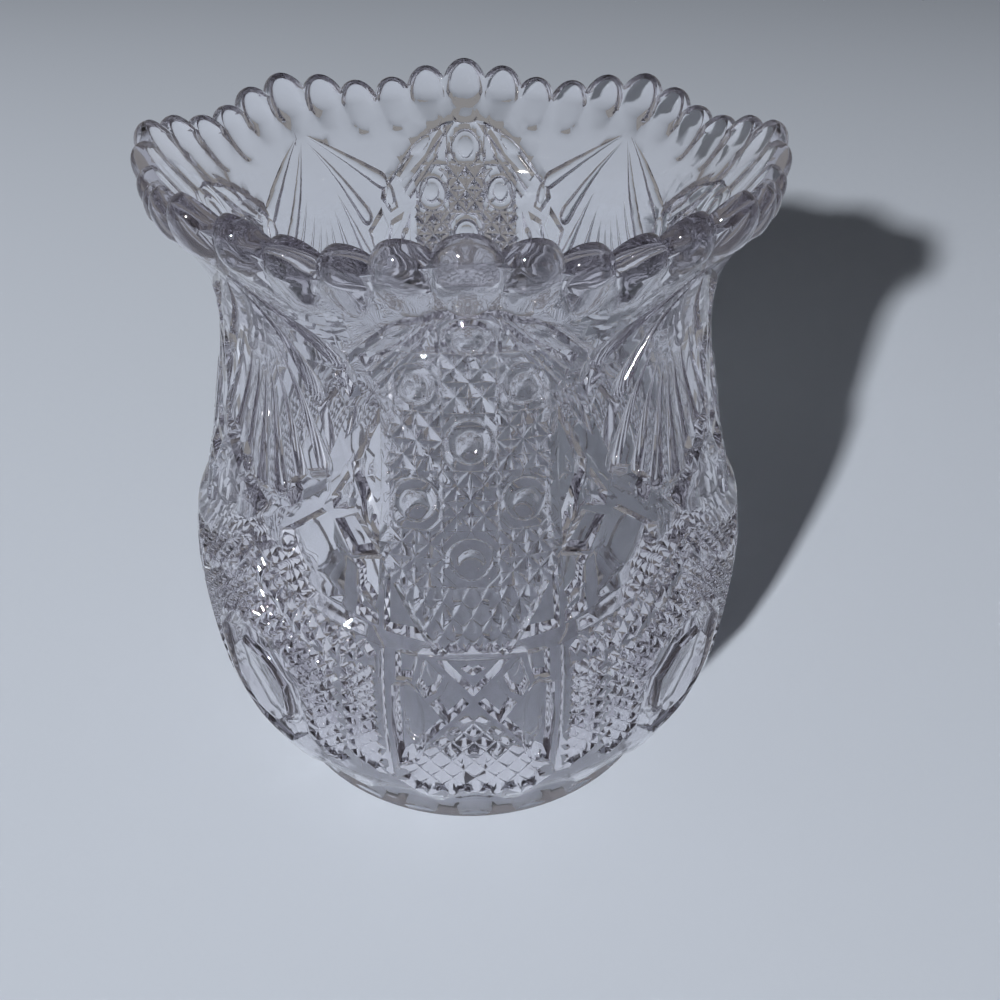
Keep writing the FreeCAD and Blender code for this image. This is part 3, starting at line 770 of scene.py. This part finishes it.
# The world's colour, its light on the scene, and its strength as the glass shows it.
WORLD_COLOUR = (0.62, 0.61, 0.61)
WORLD_LIGHT = 0.13
WORLD_IN_GLASS = 0.42
KEY_PLACE = (-1.70, -2.65, 1.27)
KEY_AIM = (0, 0, 0.03)
KEY_SIZE = 0.14
KEY_WATTS = 250
KEY_COLOUR = (1, 0.97, 0.93)
# How often light may turn in all, and how often of these at a mirroring face.
LIGHT_TURNS, MIRRORED_TURNS = 16, 10
CAMERA_PLACE = (0, -0.1546, 0.1666)
# Degrees that the camera looks down, turns round the upright and rolls.
CAMERA_DOWN, CAMERA_ROUND, CAMERA_ROLL = 36.83, -2.4175, 0.6046


def add_node(tree, kind, **sockets):
    """Adds a node and sets its sockets. A socket's spaces are written as underscores."""
    node = tree.nodes.new(kind)
    for name, setting in sockets.items():
        node.inputs[name.replace("_", " ")].default_value = setting
    return node


def new_material(name):
    """A material's tree of nodes and its shader."""
    material = bpy.data.materials.new(name)
    material.use_nodes = True
    return material, material.node_tree, material.node_tree.nodes["Principled BSDF"]


def clear_glass():
    """Clear glass with a faint lilac tint where it is thick, a slight wave and a touch of haze."""
    material, tree, shader = new_material("clear_pressed_glass")
    shader.inputs["Base Color"].default_value = (0.97, 0.97, 0.985, 1)
    shader.inputs["Transmission Weight"].default_value = 1
    shader.inputs["IOR"].default_value = 1.52
    place = tree.nodes.new("ShaderNodeTexCoord")
    smear = add_node(tree, "ShaderNodeTexNoise", Scale=90, Detail=3)
    haze = add_node(tree, "ShaderNodeMapRange", From_Min=0.45, From_Max=0.8, To_Min=0.004,
                    To_Max=0.06)
    wave = add_node(tree, "ShaderNodeTexNoise", Scale=160, Detail=1)
    bump = add_node(tree, "ShaderNodeBump", Strength=0.12, Distance=0.0004)
    tint = add_node(tree, "ShaderNodeVolumeAbsorption", Color=(0.80, 0.785, 0.81, 1), Density=75)
    for source, target in (
            (place.outputs["Object"], smear.inputs["Vector"]),
            (smear.outputs["Fac"], haze.inputs["Value"]),
            (haze.outputs["Result"], shader.inputs["Roughness"]),
            (place.outputs["Object"], wave.inputs["Vector"]),
            (wave.outputs["Fac"], bump.inputs["Height"]),
            (bump.outputs["Normal"], shader.inputs["Normal"]),
            (tint.outputs["Volume"], tree.nodes["Material Output"].inputs["Volume"])):
        tree.links.new(source, target)
    return material


def pale_cloth():
    """A pale cloth that glows a little for rays through the glass: painted light in place of the
    light that the glass lets through onto it.
    """
    material, tree, shader = new_material("pale_cloth")
    shader.inputs["Base Color"].default_value = (*CLOTH_COLOUR, 1)
    shader.inputs["Roughness"].default_value = 0.9
    shader.inputs["Specular IOR Level"].default_value = 0.2
    shader.inputs["Emission Color"].default_value = (*CLOTH_COLOUR, 1)
    ray = tree.nodes.new("ShaderNodeLightPath")
    share = tree.nodes.new("ShaderNodeMath")
    share.operation = "MULTIPLY"
    share.inputs[1].default_value = PAINTED_GLOW_UNDER_GLASS
    # Painted light: the cloth's glow, seen only through the glass
    tree.links.new(ray.outputs["Is Transmission Ray"], share.inputs[0])
    tree.links.new(share.outputs["Value"], shader.inputs["Emission Strength"])
    return material


def make_floor():
    select_none()
    bpy.ops.mesh.primitive_plane_add(size=3, location=(0, 0.4, -0.0003))
    floor = bpy.context.object
    floor.name = "floor"
    settle()
    floor.data.materials.append(pale_cloth())


def add_key_light():
    """One lamp on the left in front, which throws the shadow to the right."""
    bpy.ops.object.light_add(type="AREA", location=KEY_PLACE)
    lamp = bpy.context.object
    lamp.name = "key"
    way = Vector(KEY_AIM) - Vector(KEY_PLACE)
    lamp.rotation_euler = way.to_track_quat("-Z", "Y").to_euler()
    lamp.data.shape = "RECTANGLE"
    lamp.data.size = lamp.data.size_y = KEY_SIZE
    lamp.data.energy = KEY_WATTS
    lamp.data.color = KEY_COLOUR


def light_scene():
    """An even grey world, which the glass shows brighter than it lights, and the key light."""
    world = bpy.data.worlds.new("studio")
    bpy.context.scene.world = world
    world.use_nodes = True
    tree = world.node_tree
    background = tree.nodes["Background"]
    background.inputs["Color"].default_value = (*WORLD_COLOUR, 1)
    ray = tree.nodes.new("ShaderNodeLightPath")
    in_glass = tree.nodes.new("ShaderNodeMath")
    in_glass.operation = "MAXIMUM"
    strength = add_node(tree, "ShaderNodeMapRange", To_Min=WORLD_LIGHT, To_Max=WORLD_IN_GLASS)
    tree.links.new(ray.outputs["Is Glossy Ray"], in_glass.inputs[0])
    tree.links.new(ray.outputs["Is Transmission Ray"], in_glass.inputs[1])
    tree.links.new(in_glass.outputs["Value"], strength.inputs["Value"])
    tree.links.new(strength.outputs["Result"], background.inputs["Strength"])
    add_key_light()


def let_light_through():
    """Light is turned back many times inside the beads and the cuts before it leaves the glass."""
    paths = bpy.context.scene.cycles
    paths.max_bounces = LIGHT_TURNS
    paths.transmission_bounces = LIGHT_TURNS
    paths.glossy_bounces = MIRRORED_TURNS


def place_camera():
    """The photograph's view, 37 degrees down on the first panel."""
    data = bpy.data.cameras.new("camera")
    camera = bpy.data.objects.new("camera", data)
    bpy.context.scene.collection.objects.link(camera)
    data.sensor_width = 36
    data.lens = 31.46
    data.shift_y = -0.0042
    camera.matrix_world = (Matrix.Translation(CAMERA_PLACE)
                           @ Matrix.Rotation(radians(CAMERA_ROUND), 4, "Z")
                           @ Matrix.Rotation(radians(90 - CAMERA_DOWN), 4, "X")
                           @ Matrix.Rotation(radians(CAMERA_ROLL), 4, "Z"))
    bpy.context.scene.camera = camera


vase = make_vase()
vase.data.materials.clear()
vase.data.materials.append(clear_glass())
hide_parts(*cad_nodes)
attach(vase, "root")

make_floor()
light_scene()
let_light_through()
place_camera()
bpy.context.scene.view_settings.view_transform = "Standard"
